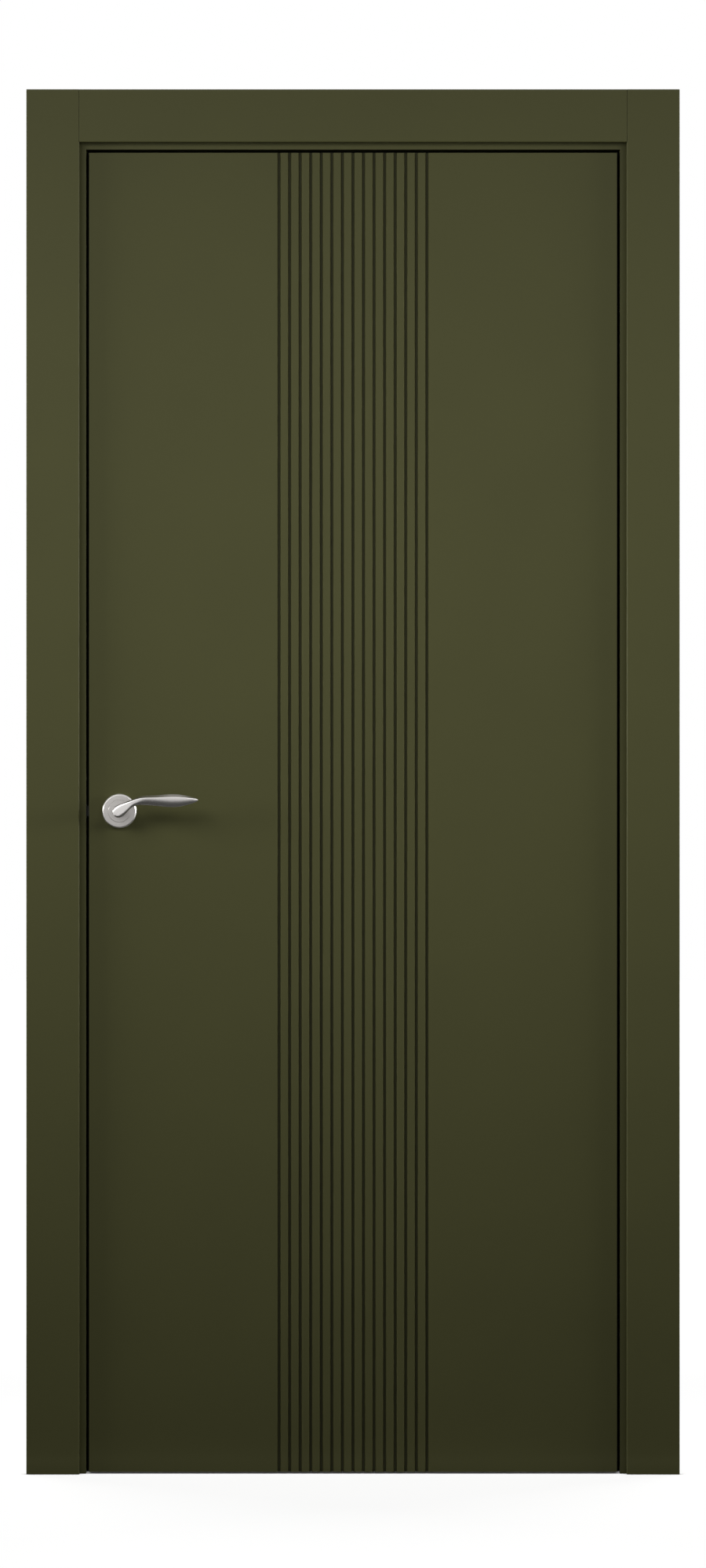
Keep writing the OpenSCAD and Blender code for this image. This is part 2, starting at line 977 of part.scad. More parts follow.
module lever_arm() {
  n = lever_sides;
  polyhedron(
    points = [for (i = [0 : lever_last]) each lever_ring(i)],
    faces = concat(
      [[for (k = [0 : n - 1]) k]],
      [for (i = [0 : lever_last - 1]) for (k = [0 : n - 1])
        each [[i*n + k, (i + 1)*n + k, (i + 1)*n + (k + 1) % n],
          [i*n + k, (i + 1)*n + (k + 1) % n, i*n + (k + 1) % n]]],
      [[for (k = [n - 1 : -1 : 0]) lever_last*n + k]]));
}

module lever()
  color(nickel)
    difference() {
      union() {
        translate([0, 0, e])
          cylinder(d = collar_d, h = rose_t - e + 0.3);
        translate([0, 0, rose_t - e])
          cylinder(r = min(bulb_r, collar_d/2) - 0.3, h = lever_bend[0][2] - rose_t + e);
        lever_arm();
      }
      spindle_socket(32);
      translate([0, 0, rose_t + 9])
        rotate([90, 0, 0])
          cylinder(d = 4.2, h = 20);
    }

module front_lever()
  at_handle(-1)
    lever();

module rear_lever()
  at_handle(1)
    lever();

module lever_grub_screws()
  color(zinc)
    for (side = [-1, 1])
      at_handle(side)
        translate([0, -spindle_s/2 - 0.1, rose_t + 9])
          rotate([90, 0, 0])
            cylinder(d = 4, h = 2.6);

latch_jamb();
hinge_jamb();
head_jamb();
front_casing_latch_side();
front_casing_hinge_side();
front_casing_head();
rear_casing_latch_side();
rear_casing_hinge_side();
rear_casing_head();
seal_latch_side();
seal_hinge_side();
seal_head();
frame_corner_screws();
strike_plate();
strike_box();
strike_screws();
upper_hinge_frame_housing();
lower_hinge_frame_housing();
hinge_frame_pins();
hinge_frame_screws();
leaf_front_skin();
leaf_back_skin();
leaf_hinge_stile();
leaf_latch_stile();
leaf_top_rail();
leaf_bottom_rail();
leaf_lock_block();
leaf_core();
hinge_edge_band();
latch_edge_band();
upper_hinge_leaf_housing();
lower_hinge_leaf_housing();
hinge_leaf_pins();
hinge_leaf_screws();
upper_hinge_frame_arm();
lower_hinge_frame_arm();
upper_hinge_leaf_arm();
lower_hinge_leaf_arm();
hinge_elbow_pins();
latch_case();
latch_faceplate();
latch_screws();
latch_bolt();
latch_spring();
front_rose_base();
rear_rose_base();
front_rose_cover();
rear_rose_cover();
rose_screws();
spindle();
latch_follower();
front_lever();
rear_lever();
lever_grub_screws();
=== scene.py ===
"""Looks of the grooved interior doorset: finishes on the frame's nodes, smooth levers and roses, studio."""
import json
import math

import bmesh
import bpy
from mathutils import Matrix, Vector
from mathutils.geometry import interpolate_bezier


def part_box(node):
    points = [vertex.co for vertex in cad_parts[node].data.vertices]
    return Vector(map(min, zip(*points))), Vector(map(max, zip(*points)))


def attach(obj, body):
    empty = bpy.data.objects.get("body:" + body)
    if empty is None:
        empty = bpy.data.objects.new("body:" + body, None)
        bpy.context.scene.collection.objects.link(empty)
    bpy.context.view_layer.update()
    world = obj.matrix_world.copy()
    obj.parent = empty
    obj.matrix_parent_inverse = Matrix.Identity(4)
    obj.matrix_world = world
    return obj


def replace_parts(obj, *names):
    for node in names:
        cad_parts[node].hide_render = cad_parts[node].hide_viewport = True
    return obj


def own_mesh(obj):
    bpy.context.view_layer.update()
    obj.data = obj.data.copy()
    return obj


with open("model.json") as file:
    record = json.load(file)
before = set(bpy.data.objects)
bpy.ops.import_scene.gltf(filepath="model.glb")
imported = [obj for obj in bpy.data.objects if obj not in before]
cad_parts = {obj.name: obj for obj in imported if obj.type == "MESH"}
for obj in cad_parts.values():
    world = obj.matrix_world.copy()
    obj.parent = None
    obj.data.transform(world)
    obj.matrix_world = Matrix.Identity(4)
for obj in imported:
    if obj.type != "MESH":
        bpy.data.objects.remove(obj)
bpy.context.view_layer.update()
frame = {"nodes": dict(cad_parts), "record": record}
nodes = frame["nodes"]
record = frame["record"]
scene = bpy.context.scene
MM = 0.001
SIDES_OF_DOORWAY = ("latch_side", "hinge_side", "head")

# middle of the spindle, which the handle turns about
low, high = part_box("spindle")
spindle_x = (low.x + high.x) / 2
spindle_z = (low.z + high.z) / 2
# each face of the leaf lies this far from the middle of its thickness
half_leaf = -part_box("leaf_front_skin")[0].y

# sockets of a Mix node, which share their names: two colours and their mixture, two values and theirs
COLOUR_A, COLOUR_B, COLOUR = 6, 7, 2
VALUE_A, VALUE_B, VALUE = 2, 3, 0


def linear(hex_code):
    """An sRGB hex colour as linear RGBA."""
    parts = [int(hex_code[i:i + 2], 16) / 255 for i in (1, 3, 5)]
    return [c / 12.92 if c <= 0.04045 else ((c + 0.055) / 1.055) ** 2.4 for c in parts] + [1.0]


def node(tree, kind, inputs=None, **settings):
    """Adds a node to a tree. An input is a plain value or the output of another node."""
    made = tree.nodes.new("ShaderNode" + kind)
    for name, value in settings.items():
        setattr(made, name, value)
    for name, value in (inputs or {}).items():
        if isinstance(value, bpy.types.NodeSocket):
            tree.links.new(value, made.inputs[name])
        else:
            made.inputs[name].default_value = value
    return made


def start_finish(name):
    """A new material with its tree, its shader and the object's own coordinates."""
    made = bpy.data.materials.new(name)
    made.use_nodes = True
    tree = made.node_tree
    return made, tree, tree.nodes["Principled BSDF"], node(tree, "TexCoord").outputs["Object"]


def facing(tree, way):
    """How squarely a surface looks one way: 1 straight along it, 0 across it, -1 straight against it."""
    normal = node(tree, "TexCoord").outputs["Normal"]
    return node(tree, "VectorMath", {0: normal, 1: way}, operation="DOT_PRODUCT").outputs["Value"]


def seen_directly(tree):
    """1 for what the camera sees straight, in gloss or through glass, 0 for light on the object."""
    paths = node(tree, "LightPath")
    seen = paths.outputs["Is Camera Ray"]
    for kind in ("Is Glossy Ray", "Is Transmission Ray"):
        seen = node(tree, "Math", {0: seen, 1: paths.outputs[kind]}, operation="MAXIMUM").outputs[0]
    return seen


# Finishes

# a side counts as looking one way above this much of facing
SQUARELY = 0.7
# floors and walls of the milled grooves look out of the leaf by more than this, its edges by less
MILLED = 0.3
# depths below the face between which the painted shade in a groove deepens
GROOVE_TOP, GROOVE_FOOT = 0.5 * MM, 3.5 * MM


def satin_enamel(name, bare_side=None, grooved=False):
    """Satin olive enamel sprayed on primed fibreboard: even deep colour, broad soft sheen, faint orange peel.
    The side of a frame piece that the wall hides is left as bare brown board. In milled grooves the colour
    is darkened with depth, as painted shade."""
    made, tree, shader, spot = start_finish(name)
    # slow cloudiness of the sprayed coat, about 160 mm across
    cloud = node(tree, "TexNoise", {"Vector": spot, "Scale": 1 / (160 * MM), "Detail": 3.0}).outputs["Fac"]
    colour = node(tree, "Mix", {"Factor": cloud, COLOUR_A: linear("#424227"), COLOUR_B: linear("#464629")},
                  data_type="RGBA").outputs[COLOUR]
    rough = node(tree, "MapRange", {"Value": cloud, "From Min": 0.3, "From Max": 0.7,
                                    "To Min": 0.44, "To Max": 0.50}).outputs["Result"]
    # orange peel is 1 to 2 mm across; drawn at 3 mm, so that it still shows in the render
    peel = node(tree, "TexNoise", {"Vector": spot, "Scale": 1 / (3 * MM), "Detail": 2.0})
    bump = node(tree, "Bump", {"Height": peel.outputs["Fac"], "Strength": 0.06, "Distance": 0.3 * MM})
    shader.inputs["Specular IOR Level"].default_value = 0.12
    if grooved:
        across = node(tree, "SeparateXYZ", {"Vector": spot}).outputs["Y"]
        outward = node(tree, "Math", {0: across}, operation="ABSOLUTE").outputs[0]
        deep = node(tree, "MapRange", {"Value": outward, "From Min": half_leaf - GROOVE_TOP,
                                       "From Max": half_leaf - GROOVE_FOOT}).outputs["Result"]
        # the edges of the skin look sideways, so they get none of the painted shade
        lean = node(tree, "Math", {0: facing(tree, (0, 1, 0))}, operation="ABSOLUTE").outputs[0]
        milled = node(tree, "Math", {0: lean, 1: MILLED}, operation="GREATER_THAN").outputs[0]
        painted_groove_shade = node(tree, "Math", {0: deep, 1: milled}, operation="MULTIPLY").outputs[0]
        # painted shade: walls and floors of the grooves are darkened towards #353522 with depth
        colour = node(tree, "Mix", {"Factor": painted_groove_shade, COLOUR_A: colour, COLOUR_B: linear("#353522")},
                      data_type="RGBA").outputs[COLOUR]
    if bare_side:
        bare = node(tree, "Math", {0: facing(tree, bare_side), 1: SQUARELY},
                    operation="GREATER_THAN").outputs[0]
        # fibres of the board, about 2 mm
        fibre = node(tree, "TexNoise", {"Vector": spot, "Scale": 1 / (2 * MM), "Detail": 4.0,
                                        "Roughness": 0.7})
        board = node(tree, "Mix", {"Factor": fibre.outputs["Fac"], COLOUR_A: linear("#8d7350"),
                                   COLOUR_B: linear("#b3976d")}, data_type="RGBA").outputs[COLOUR]
        colour = node(tree, "Mix", {"Factor": bare, COLOUR_A: colour, COLOUR_B: board},
                      data_type="RGBA").outputs[COLOUR]
        rough = node(tree, "Mix", {"Factor": bare, VALUE_A: rough, VALUE_B: 0.85}).outputs[VALUE]
    tree.links.new(colour, shader.inputs["Base Color"])
    tree.links.new(rough, shader.inputs["Roughness"])
    tree.links.new(bump.outputs["Normal"], shader.inputs["Normal"])
    return made


def nickel_plate(name, dark, light, smooth, dull, rim_from=None):
    """Nickel plate on a zinc casting: warm grey metal with soft highlights and hair-fine polish lines.
    A rose has a brushed face and, outside a radius, a brighter rim cut by the tool."""
    made, tree, shader, spot = start_finish(name)
    shader.inputs["Metallic"].default_value = 1.0
    # polish lines run level; 0.3 mm apart in fact, drawn at 0.8 mm and 30 times as long
    grain = node(tree, "Mapping", {"Vector": spot, "Scale": (1 / 30, 1.0, 1.0)})
    lines = node(tree, "TexNoise", {"Vector": grain.outputs["Vector"], "Scale": 1 / (0.8 * MM),
                                    "Detail": 2.0}).outputs["Fac"]
    tone = node(tree, "Mix", {"Factor": lines, COLOUR_A: linear(dark), COLOUR_B: linear(light)},
                data_type="RGBA").outputs[COLOUR]
    rough = node(tree, "MapRange", {"Value": lines, "To Min": smooth, "To Max": dull}).outputs["Result"]
    bump = node(tree, "Bump", {"Height": lines, "Strength": 0.015, "Distance": 0.03 * MM})
    if rim_from:
        flat = node(tree, "VectorMath", {0: spot, 1: (1, 0, 1)}, operation="MULTIPLY").outputs["Vector"]
        reach = node(tree, "VectorMath", {0: flat, 1: (spindle_x, 0, spindle_z)}, operation="DISTANCE")
        rim = node(tree, "Math", {0: reach.outputs["Value"], 1: rim_from},
                   operation="GREATER_THAN").outputs[0]
        tone = node(tree, "Mix", {"Factor": rim, COLOUR_A: tone, COLOUR_B: linear("#d2d0cd")},
                    data_type="RGBA").outputs[COLOUR]
        rough = node(tree, "Mix", {"Factor": rim, VALUE_A: rough, VALUE_B: 0.3}).outputs[VALUE]
    tree.links.new(tone, shader.inputs["Base Color"])
    tree.links.new(rough, shader.inputs["Roughness"])
    tree.links.new(bump.outputs["Normal"], shader.inputs["Normal"])
    return made


def zinc_plate():
    """Bright zinc plate on pressed steel: cool grey with a faint crystal blotch."""
    made, tree, shader, spot = start_finish("zinc_plated_steel")
    shader.inputs["Metallic"].default_value = 1.0
    # crystals of the plating, about 4 mm
    crystal = node(tree, "TexVoronoi", {"Vector": spot, "Scale": 1 / (4 * MM)}).outputs["Distance"]
    tone = node(tree, "Mix", {"Factor": crystal, COLOUR_A: linear("#a3a6a9"), COLOUR_B: linear("#b4b7ba")},
                data_type="RGBA")
    rough = node(tree, "MapRange", {"Value": crystal, "To Min": 0.3, "To Max": 0.42})
    tree.links.new(tone.outputs[COLOUR], shader.inputs["Base Color"])
    tree.links.new(rough.outputs["Result"], shader.inputs["Roughness"])
    return made


def black_steel():
    """Hinge steel under a thin black stoved coat: nearly black, a dull sheen, slightly grainy."""
    made, tree, shader, spot = start_finish("black_stoved_steel")
    # grain of the stoved coat, about 1 mm
    grain = node(tree, "TexNoise", {"Vector": spot, "Scale": 1 / (1 * MM), "Detail": 2.0}).outputs["Fac"]
    tone = node(tree, "Mix", {"Factor": grain, COLOUR_A: linear("#1a1a19"), COLOUR_B: linear("#262624")},
                data_type="RGBA")
    bump = node(tree, "Bump", {"Height": grain, "Strength": 0.15, "Distance": 0.1 * MM})
    shader.inputs["Roughness"].default_value = 0.5
    tree.links.new(tone.outputs[COLOUR], shader.inputs["Base Color"])
    tree.links.new(bump.outputs["Normal"], shader.inputs["Normal"])
    return made


def seal_rubber():
    """Extruded black rubber: matt, with a light bloom in patches."""
    made, tree, shader, spot = start_finish("extruded_black_rubber")
    # patches of bloom, about 30 mm
    bloom = node(tree, "TexNoise", {"Vector": spot, "Scale": 1 / (30 * MM), "Detail": 4.0}).outputs["Fac"]
    tone = node(tree, "Mix", {"Factor": bloom, COLOUR_A: linear("#121211"), COLOUR_B: linear("#21211f")},
                data_type="RGBA")
    shader.inputs["Roughness"].default_value = 0.72
    shader.inputs["Specular IOR Level"].default_value = 0.3
    tree.links.new(tone.outputs[COLOUR], shader.inputs["Base Color"])
    return made


def black_abs():
    """Moulded black ABS: even black with a fine spark texture."""
    made, tree, shader, spot = start_finish("moulded_black_abs")
    # spark texture of the mould, drawn at 0.8 mm
    spark = node(tree, "TexNoise", {"Vector": spot, "Scale": 1 / (0.8 * MM), "Detail": 1.0}).outputs["Fac"]
    tone = node(tree, "Mix", {"Factor": spark, COLOUR_A: linear("#191918"), COLOUR_B: linear("#232322")},
                data_type="RGBA")
    bump = node(tree, "Bump", {"Height": spark, "Strength": 0.2, "Distance": 0.1 * MM})
    shader.inputs["Roughness"].default_value = 0.55
    tree.links.new(tone.outputs[COLOUR], shader.inputs["Base Color"])
    tree.links.new(bump.outputs["Normal"], shader.inputs["Normal"])
    return made


def planed_pine(name, stretch):
    """Planed pine: pale straw wood with darker late-wood lines along the length of the piece.
    The edge that looks up is painted with the leaf."""
    made, tree, shader, spot = start_finish(name)
    # year rings about 4 mm apart in bands of about 40 mm, drawn out along the grain
    grain = node(tree, "Mapping", {"Vector": spot, "Scale": stretch}).outputs["Vector"]
    bands = node(tree, "TexNoise", {"Vector": grain, "Scale": 1 / (40 * MM), "Detail": 2.0}).outputs["Fac"]
    rings = node(tree, "TexNoise", {"Vector": grain, "Scale": 1 / (4 * MM), "Detail": 3.0,
                                    "Distortion": 0.4}).outputs["Fac"]
    blend = node(tree, "Math", {0: bands, 1: rings}, operation="MULTIPLY").outputs[0]
    early = node(tree, "MapRange", {"Value": blend, "From Min": 0.12, "From Max": 0.4}).outputs["Result"]
    wood = node(tree, "Mix", {"Factor": early, COLOUR_A: linear("#b98f58"), COLOUR_B: linear("#dcbd8b")},
                data_type="RGBA").outputs[COLOUR]
    painted = node(tree, "Math", {0: facing(tree, (0, 0, 1)), 1: SQUARELY},
                   operation="GREATER_THAN").outputs[0]
    colour = node(tree, "Mix", {"Factor": painted, COLOUR_A: wood, COLOUR_B: linear("#444428")},
                  data_type="RGBA")
    rough = node(tree, "MapRange", {"Value": painted, "To Min": 0.7, "To Max": 0.47})
    shader.inputs["Specular IOR Level"].default_value = 0.2
    tree.links.new(colour.outputs[COLOUR], shader.inputs["Base Color"])
    tree.links.new(rough.outputs["Result"], shader.inputs["Roughness"])
    return made


def chipboard():
    """Extruded chipboard core: pressed flakes of pale and brown wood."""
    made, tree, shader, spot = start_finish("extruded_chipboard")
    # flakes about 5 mm
    flake = node(tree, "TexVoronoi", {"Vector": spot, "Scale": 1 / (5 * MM)})
    shade = node(tree, "SeparateColor", {"Color": flake.outputs["Color"]}).outputs["Red"]
    tone = node(tree, "Mix", {"Factor": shade, COLOUR_A: linear("#8a6d45"), COLOUR_B: linear("#c8ab7c")},
                data_type="RGBA")
    shader.inputs["Roughness"].default_value = 0.85
    tree.links.new(tone.outputs[COLOUR], shader.inputs["Base Color"])
    return made


enamel = satin_enamel("satin_enamel_on_fibreboard")
grooved_enamel = satin_enamel("satin_enamel_grooved_skin", grooved=True)
hinge_jamb_enamel = satin_enamel("satin_enamel_hinge_jamb", (1, 0, 0))
latch_jamb_enamel = satin_enamel("satin_enamel_latch_jamb", (-1, 0, 0))
head_enamel = satin_enamel("satin_enamel_head_jamb", (0, 0, 1))
front_casing_enamel = satin_enamel("satin_enamel_front_casing", (0, 1, 0))
rear_casing_enamel = satin_enamel("satin_enamel_rear_casing", (0, -1, 0))
brushed_nickel = nickel_plate("brushed_nickel_plate", "#a19e9b", "#adaaa7", 0.34, 0.44)
rose_nickel = nickel_plate("brushed_nickel_rose", "#a19e9b", "#adaaa7", 0.34, 0.44, rim_from=24.2 * MM)
polished_nickel = nickel_plate("polished_nickel_plate", "#c8c5c2", "#cfccca", 0.25, 0.28)
upright_pine = planed_pine("planed_pine_upright", (1, 1, 1 / 25))
level_pine = planed_pine("planed_pine_level", (1 / 25, 1, 1))
finish_of_slot = {
    "olive_enamel": enamel,
    "pine_timber": upright_pine,
    "chipboard": chipboard(),
    "satin_nickel": brushed_nickel,
    "zinc_plated_steel": zinc_plate(),
    "black_steel": black_steel(),
    "black_rubber": seal_rubber(),
    "black_plastic": black_abs(),
}
# nodes whose finish differs from that of their slot
finish_of_node = {
    "latch_jamb": latch_jamb_enamel,
    "hinge_jamb": hinge_jamb_enamel,
    "head_jamb": head_enamel,
    "leaf_top_rail": level_pine,
    "leaf_bottom_rail": level_pine,
    "leaf_front_skin": grooved_enamel,
    "leaf_back_skin": grooved_enamel,
}
for side in SIDES_OF_DOORWAY:
    finish_of_node["front_casing_" + side] = front_casing_enamel
    finish_of_node["rear_casing_" + side] = rear_casing_enamel
for row in record["subparts"]:
    piece = nodes[row["node"]]
    piece.data.materials.clear()
    piece.data.materials.append(finish_of_node.get(row["node"], finish_of_slot[row["material_slot"]]))

# Eased arrises, in millimetres: no painted edge is knife sharp

eased = {"latch_jamb": 0.6, "hinge_jamb": 0.6, "head_jamb": 0.6,
         "leaf_front_skin": 0.5, "leaf_back_skin": 0.6, "hinge_edge_band": 0.3, "latch_edge_band": 0.3}
for side in SIDES_OF_DOORWAY:
    eased["front_casing_" + side] = 0.25
    eased["rear_casing_" + side] = 0.25
for name, radius in eased.items():
    weld = nodes[name].modifiers.new("weld", "WELD")
    weld.merge_threshold = 0.01 * MM
    flat = nodes[name].modifiers.new("flat", "DECIMATE")
    flat.decimate_type = "DISSOLVE"
    flat.angle_limit = math.radians(0.5)
    arris = nodes[name].modifiers.new("arris", "BEVEL")
    arris.width = radius * MM
    arris.segments = 3
    arris.limit_method = "ANGLE"
    arris.angle_limit = math.radians(25)
    arris.harden_normals = True


# Handle, in millimetres from the spindle at the face of the leaf: x to the tip, y up, z out from the leaf

FRONT = Matrix(((MM, 0, 0, spindle_x), (0, 0, -MM, -half_leaf), (0, MM, 0, spindle_z), (0, 0, 0, 1)))
REAR = Matrix(((MM, 0, 0, spindle_x), (0, 0, MM, half_leaf), (0, MM, 0, spindle_z), (0, 0, 0, 1)))

# rose cover, turned, as radius and height: bevelled rim, a fine ring line, a hole for the collar, hollow back
ROSE = [(26.0, 0.0), (26.0, 6.0), (25.93, 6.2), (25.75, 6.4),
        (24.5, 7.65), (24.25, 7.85), (23.8, 7.97), (23.3, 8.0),
        (17.3, 8.0), (17.1, 7.87), (17.0, 7.75), (16.9, 7.87), (16.7, 8.0),
        (9.7, 8.0), (9.5, 7.8), (9.5, 6.1), (23.9, 6.1), (23.9, 0.0)]
# neck of the lever, turned: its collar runs in the rose, and it stands out to the bar
NECK = [(4.5, 1.0), (9.0, 1.0), (9.0, 7.9), (8.9, 8.15), (8.6, 8.3), (8.5, 8.35), (8.45, 8.6),
        (8.45, 46.0), (4.5, 46.0)]
TURNED_STEPS = 96

# lever: length to the tip, rise of the bar, reach from the leaf, half height of the end over the spindle
LONG, RISE, REACH, BULB = 120.0, 16.2, 50.0, 9.1
# half height and half depth along the length, from the spindle to the tip
HALF_HIGH = [(0, 9.1), (0.04, 8.9), (0.08, 7.6), (0.12, 6.05), (0.16, 5.25), (0.20, 5.45), (0.25, 6.25),
             (0.29, 7.05), (0.33, 7.6), (0.42, 8.0), (0.52, 8.9), (0.63, 10.2), (0.70, 10.2), (0.75, 9.9),
             (0.83, 8.3), (0.88, 6.8), (0.92, 5.3), (0.96, 3.7), (0.98, 2.7), (1, 0.9)]
HALF_DEEP = [(0, 6.1), (0.12, 5.7), (0.25, 5.1), (0.5, 4.9), (0.72, 4.7), (0.86, 3.7), (0.93, 2.7),
             (1, 0.6)]
# rings round the end over the spindle, as shares of its half height
BULB_RINGS = (1, 0.965, 0.85, 0.67, 0.37)
# half height of the outermost of them, and the share by which it is thinner than the bar
BULB_NOSE, BULB_THINNED = 0.3, 0.27
# middle line of the bar's neck as a curve, in shares of length, rise and reach: start, two handles, end
NECK_LINE = [(0, -0.05, 0.95), (0.18, 0.89, 0.96), (0.23, 0.975, 0.97), (0.37, 1, 0.97)]
NECK_RINGS = 13
# rings along the rest of the bar, closer together at the tip
BAR_RINGS = [i / 16 for i in range(1, 15)] + [0.915, 0.95, 0.98, 1.0]
# millimetres that the bar sags and its tip lifts, and the share of the reach by which the tip leans in
BAR_SAG, TIP_LIFT, TIP_IN = 0.4, 0.8, 0.06
# where the ridged section of the bar takes over from the squarish one of the neck
RIDGED = [(0.1, 0), (0.32, 1)]
# power that makes a round section squarish
SQUARISH = 0.5
# depth of the ridged section at each step round it, from the top down the front and up the back
SECTION = [-0.22, -0.07, 0.35, 1.0, 0.94, 0.82, 0.64, 0.42, 0.18, -0.05,
           -0.35, -0.60, -0.78, -0.90, -0.97, -1.0, -1.0, -0.93]
SIDES = len(SECTION)
RIDGE = SECTION.index(1.0)
RIDGE_CREASE = 0.8


def put(bm, name, place, finish, body, sharp):
    """Finishes a new piece: places it, turns its faces outwards, shades it and hangs it on its body."""
    bmesh.ops.transform(bm, matrix=place, verts=bm.verts)
    bmesh.ops.remove_doubles(bm, verts=bm.verts, dist=0.002 * MM)
    bmesh.ops.recalc_face_normals(bm, faces=bm.faces)
    for face in bm.faces:
        face.smooth = True
    mesh = bpy.data.meshes.new(name)
    bm.to_mesh(mesh)
    bm.free()
    mesh.set_sharp_from_angle(angle=math.radians(sharp))
    mesh.materials.append(finish)
    piece = bpy.data.objects.new(name, mesh)
    scene.collection.objects.link(piece)
    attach(piece, body)
    return piece


def turned(name, profile, place, finish, body):
    """A piece spun from its profile of radius and height."""
    bm = bmesh.new()
    points = [bm.verts.new((r, 0, z)) for r, z in profile]
    edges = [bm.edges.new(pair) for pair in zip(points, points[1:] + points[:1])]
    bmesh.ops.spin(bm, geom=points + edges, cent=(0, 0, 0), axis=(0, 0, 1), angle=math.tau,
                   steps=TURNED_STEPS, use_merge=True)
    return put(bm, name, place, finish, body, sharp=30)


def between(table, x):
    """Straight-line reading of a table of pairs."""
    for (x0, y0), (x1, y1) in zip(table, table[1:]):
        if x <= x1:
            return y0 + (y1 - y0) * max(0.0, x - x0) / (x1 - x0)
    return table[-1][1]


def lever_rings():
    """Middle, half height and half depth of each ring of the lever, from the round end to the tip."""
    start, lean, ease, end = [Vector((LONG * x, RISE * y, REACH * z)) for x, y, z in NECK_LINE]
    way = Vector((lean.x - start.x, lean.y - start.y, 0)).normalized()
    line = list(interpolate_bezier(start, lean, ease, end, NECK_RINGS))
    bar_from, _, bar_out = NECK_LINE[-1]
    for s in BAR_RINGS:
        x = LONG * (bar_from + (1 - bar_from) * s)
        y = RISE - BAR_SAG * math.sin(math.pi * s) + TIP_LIFT * s ** 4
        line.append(Vector((x, y, REACH * (bar_out - TIP_IN * s * s))))
    rings = []
    for d in BULB_RINGS:
        high = BULB * math.sqrt(1 - d * d) + BULB_NOSE
        rings.append((start - way * d * BULB, high, HALF_DEEP[0][1] * (1 - BULB_THINNED * d ** 8)))
    for spot in line:
        share = min(1.0, max(0.0, spot.x / LONG))
        rings.append((spot, between(HALF_HIGH, share), between(HALF_DEEP, share)))
    return rings


def lever(name, place, stands_for):
    """The cast lever: rings bridged into a smooth bar, squarish at the neck and ridged along the grip."""
    rings = lever_rings()
    bm = bmesh.new()
    loops, ridge = [], []
    for i, (spot, high, deep) in enumerate(rings):
        along = (rings[min(i + 1, len(rings) - 1)][0] - rings[max(i - 1, 0)][0]).normalized()
        up = Vector((-along.y, along.x, 0)).normalized()
        out = along.cross(up)
        ridged = between(RIDGED, spot.x / LONG)
        loop = bmesh.ops.create_circle(bm, segments=SIDES, radius=1.0)["verts"]
        for k, vert in enumerate(loop):
            c = math.cos(math.tau * k / SIDES)
            s = math.sin(math.tau * k / SIDES)
            square_c = math.copysign(abs(c) ** SQUARISH, c)
            square_s = math.copysign(abs(s) ** SQUARISH, s)
            vert.co = (spot + up * (high * (square_c + (c - square_c) * ridged))
                       + out * (deep * (square_s + (SECTION[k] - square_s) * ridged)))
        loops.append(list({edge for vert in loop for edge in vert.link_edges}))
        ridge.append((loop[RIDGE], ridged))
    for near, far in zip(loops, loops[1:]):
        bmesh.ops.bridge_loops(bm, edges=near + far)
    bmesh.ops.holes_fill(bm, edges=[edge for edge in bm.edges if edge.is_boundary], sides=SIDES)
    crease = bm.edges.layers.float.new("crease_edge")
    for (a, one), (b, two) in zip(ridge, ridge[1:]):
        edge = bm.edges.get((a, b))
        if edge:
            edge[crease] = RIDGE_CREASE * min(one, two)
    piece = put(bm, name, place, polished_nickel, "handle", sharp=180)
    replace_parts(piece, stands_for)
    smooth = piece.modifiers.new("smooth", "SUBSURF")
    smooth.levels = smooth.render_levels = 2


for word, place in (("front", FRONT), ("rear", REAR)):
    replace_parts(turned(word + "_rose_turned", ROSE, place, rose_nickel, "leaf"), word + "_rose_cover")
    turned(word + "_lever_neck", NECK, place, polished_nickel, "handle")
    lever(word + "_lever_cast", place, word + "_lever")

# Latch spring: the folded strip with eased edges, on a mesh of its own

bm = bmesh.new()
bm.from_mesh(nodes["latch_spring"].data)
bmesh.ops.remove_doubles(bm, verts=bm.verts, dist=0.01 * MM)
bmesh.ops.dissolve_limit(bm, angle_limit=math.radians(1), verts=bm.verts, edges=bm.edges)
bmesh.ops.bevel(bm, geom=list(bm.edges), offset=0.2 * MM, affect="EDGES", segments=2, profile=0.5,
                material=-1)
spring = put(bm, "latch_spring_strip", Matrix(), finish_of_slot["zinc_plated_steel"], "leaf", sharp=40)
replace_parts(spring, "latch_spring")
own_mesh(spring)


# Studio, in metres: pale floor, white surroundings, soft lights in front, at the sides and behind

# the floor lies just under the object, so that their faces don't coincide
FLOOR_HALF, FLOOR_HIGH = 30.0, -0.2 * MM
FLAG_HALF, FLAG_AWAY, FLAG_HIGH = 1.48, 1.55, 0.02


def level_squares(name, half, middles, finish):
    """Level squares of one finish as one object of the studio."""
    bm = bmesh.new()
    for middle in middles:
        bmesh.ops.create_grid(bm, x_segments=1, y_segments=1, size=half, matrix=Matrix.Translation(middle))
    mesh = bpy.data.meshes.new(name)
    bm.to_mesh(mesh)
    bm.free()
    mesh.materials.append(finish)
    made = bpy.data.objects.new(name, mesh)
    scene.collection.objects.link(made)
    return made


# matt floor paint; to the camera it glows, more with distance, so that it is white and keeps the shadow
paint, tree, shader, spot = start_finish("matt_floor_paint")
reach = node(tree, "VectorMath", {0: spot}, operation="LENGTH").outputs["Value"]
near = node(tree, "MapRange", {"Value": reach, "From Min": 0.6, "From Max": 2.6,
                               "To Min": 0.85, "To Max": 1.0}).outputs["Result"]
glow = node(tree, "Math", {0: seen_directly(tree), 1: near}, operation="MULTIPLY").outputs[0]
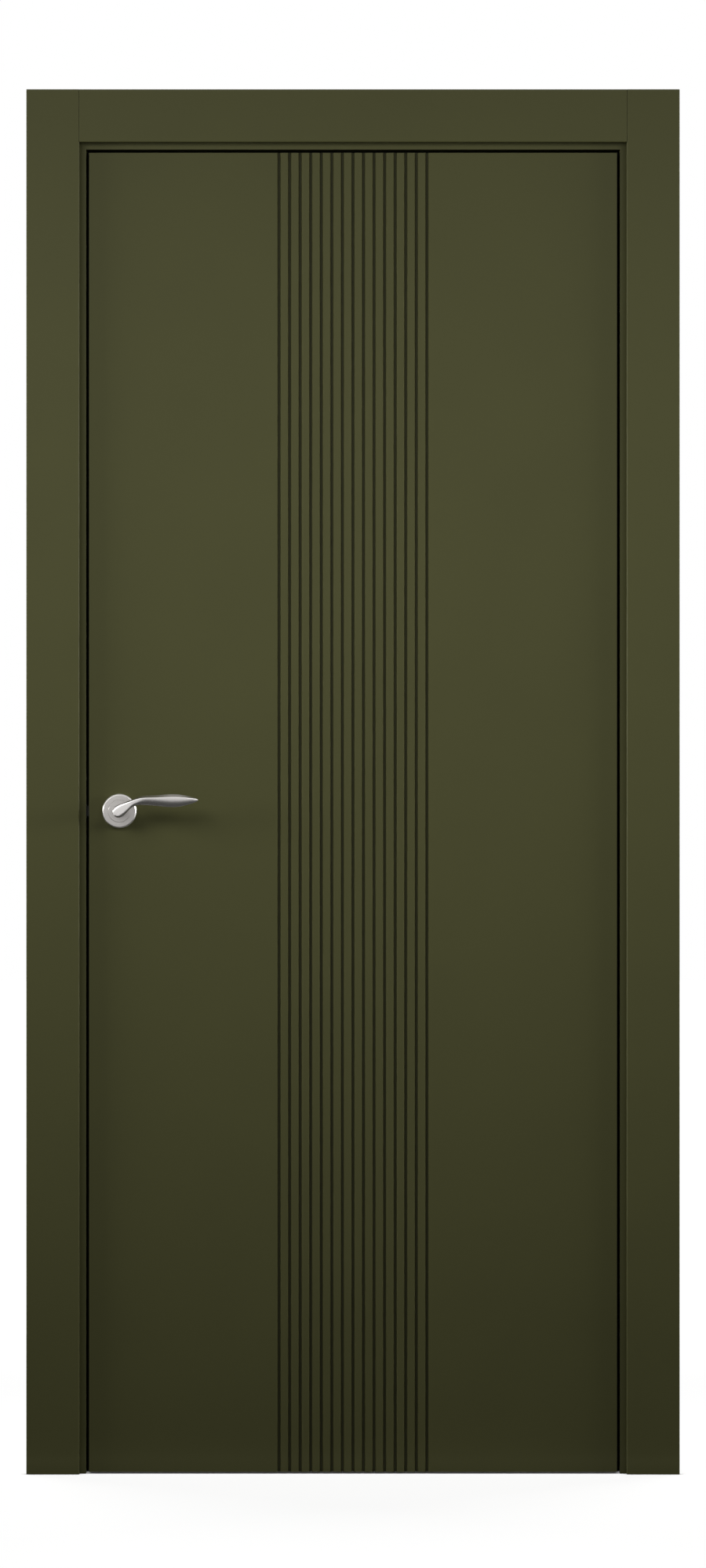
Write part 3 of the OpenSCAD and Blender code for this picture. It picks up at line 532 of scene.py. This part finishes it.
# painted shade: the floor's glow fades close under and beside the leaf, wherever the leaf stands
clear = node(tree, "AmbientOcclusion", {"Distance": 12 * MM}, samples=1).outputs["AO"]
glow = node(tree, "Math", {0: glow, 1: clear}, operation="MULTIPLY").outputs[0]
shader.inputs["Base Color"].default_value = linear("#7c7c7a")
shader.inputs["Roughness"].default_value = 0.9
shader.inputs["Emission Color"].default_value = linear("#ffffff")
tree.links.new(glow, shader.inputs["Emission Strength"])
floor = level_squares("studio_floor", FLOOR_HALF, [(0, 0, FLOOR_HIGH)], paint)

# grey flags over the floor before and behind the door, seen only in gloss, give the metal its dark side
felt, _, shader, _ = start_finish("grey_felt")
shader.inputs["Base Color"].default_value = linear("#6a6a68")
shader.inputs["Roughness"].default_value = 1.0
flags = level_squares("floor_flags", FLAG_HALF, [(0, -FLAG_AWAY, FLAG_HIGH), (0, FLAG_AWAY, FLAG_HIGH)],
                      felt)
flags.visible_camera = flags.visible_diffuse = flags.visible_shadow = flags.visible_transmission = False

# white to the camera, faint as light on the object
world = bpy.data.worlds.new("white_studio")
scene.world = world
world.use_nodes = True
tree = world.node_tree
tree.nodes.clear()
fill = node(tree, "Background", {"Color": linear("#ffffff"), "Strength": 0.07})
white = node(tree, "Background", {"Color": linear("#ffffff"), "Strength": 1.0})
mixed = node(tree, "MixShader", {0: seen_directly(tree), 1: fill.outputs[0], 2: white.outputs[0]})
node(tree, "OutputWorld", {"Surface": mixed.outputs[0]})

# soft lights in pairs: place of the right one, height aimed at, width and height, watts left and right,
# spread in degrees
LIGHTS = {
    "key": ((1.5, -2.2, 2.4), 1.33, (1.6, 1.0), (6.4, 4.7), 72),
    # nearly along the face, so that the casings shade the edges of the leaf and the grooves stay dark
    "side": ((4.5, -0.9, 1.75), 1.2, (1.6, 1.2), (14.5, 13.0), 46),
    "back": ((1.5, 2.2, 2.7), 1.15, (1.6, 1.0), (12, 12), 78),
}
for pair, ((x, y, z), aim, size, watts, spread) in LIGHTS.items():
    for word, sign, power in zip(("left", "right"), (-1, 1), watts):
        lamp = bpy.data.lights.new(pair + "_" + word, "AREA")
        lamp.shape = "RECTANGLE"
        lamp.size, lamp.size_y = size
        lamp.energy = power
        lamp.spread = math.radians(spread)
        held = bpy.data.objects.new(pair + "_" + word, lamp)
        held.location = (sign * x, y, z)
        held.rotation_euler = (Vector((0, 0, aim)) - held.location).to_track_quat("-Z", "Y").to_euler()
        scene.collection.objects.link(held)

# camera square on to the leaf; its lens frames the door as in the photo
CAMERA_AWAY, CAMERA_HIGH, CAMERA_LENS = 12.0, 1.0455, 181.7
eye = bpy.data.cameras.new("eye")
eye.sensor_width = 36
eye.lens = CAMERA_LENS
eye.clip_end = 100
camera = bpy.data.objects.new("eye", eye)
camera.location = (0, -CAMERA_AWAY - half_leaf, CAMERA_HIGH)
camera.rotation_euler = (math.radians(90), 0, 0)
scene.collection.objects.link(camera)
scene.camera = camera
scene.view_settings.view_transform = "Standard"
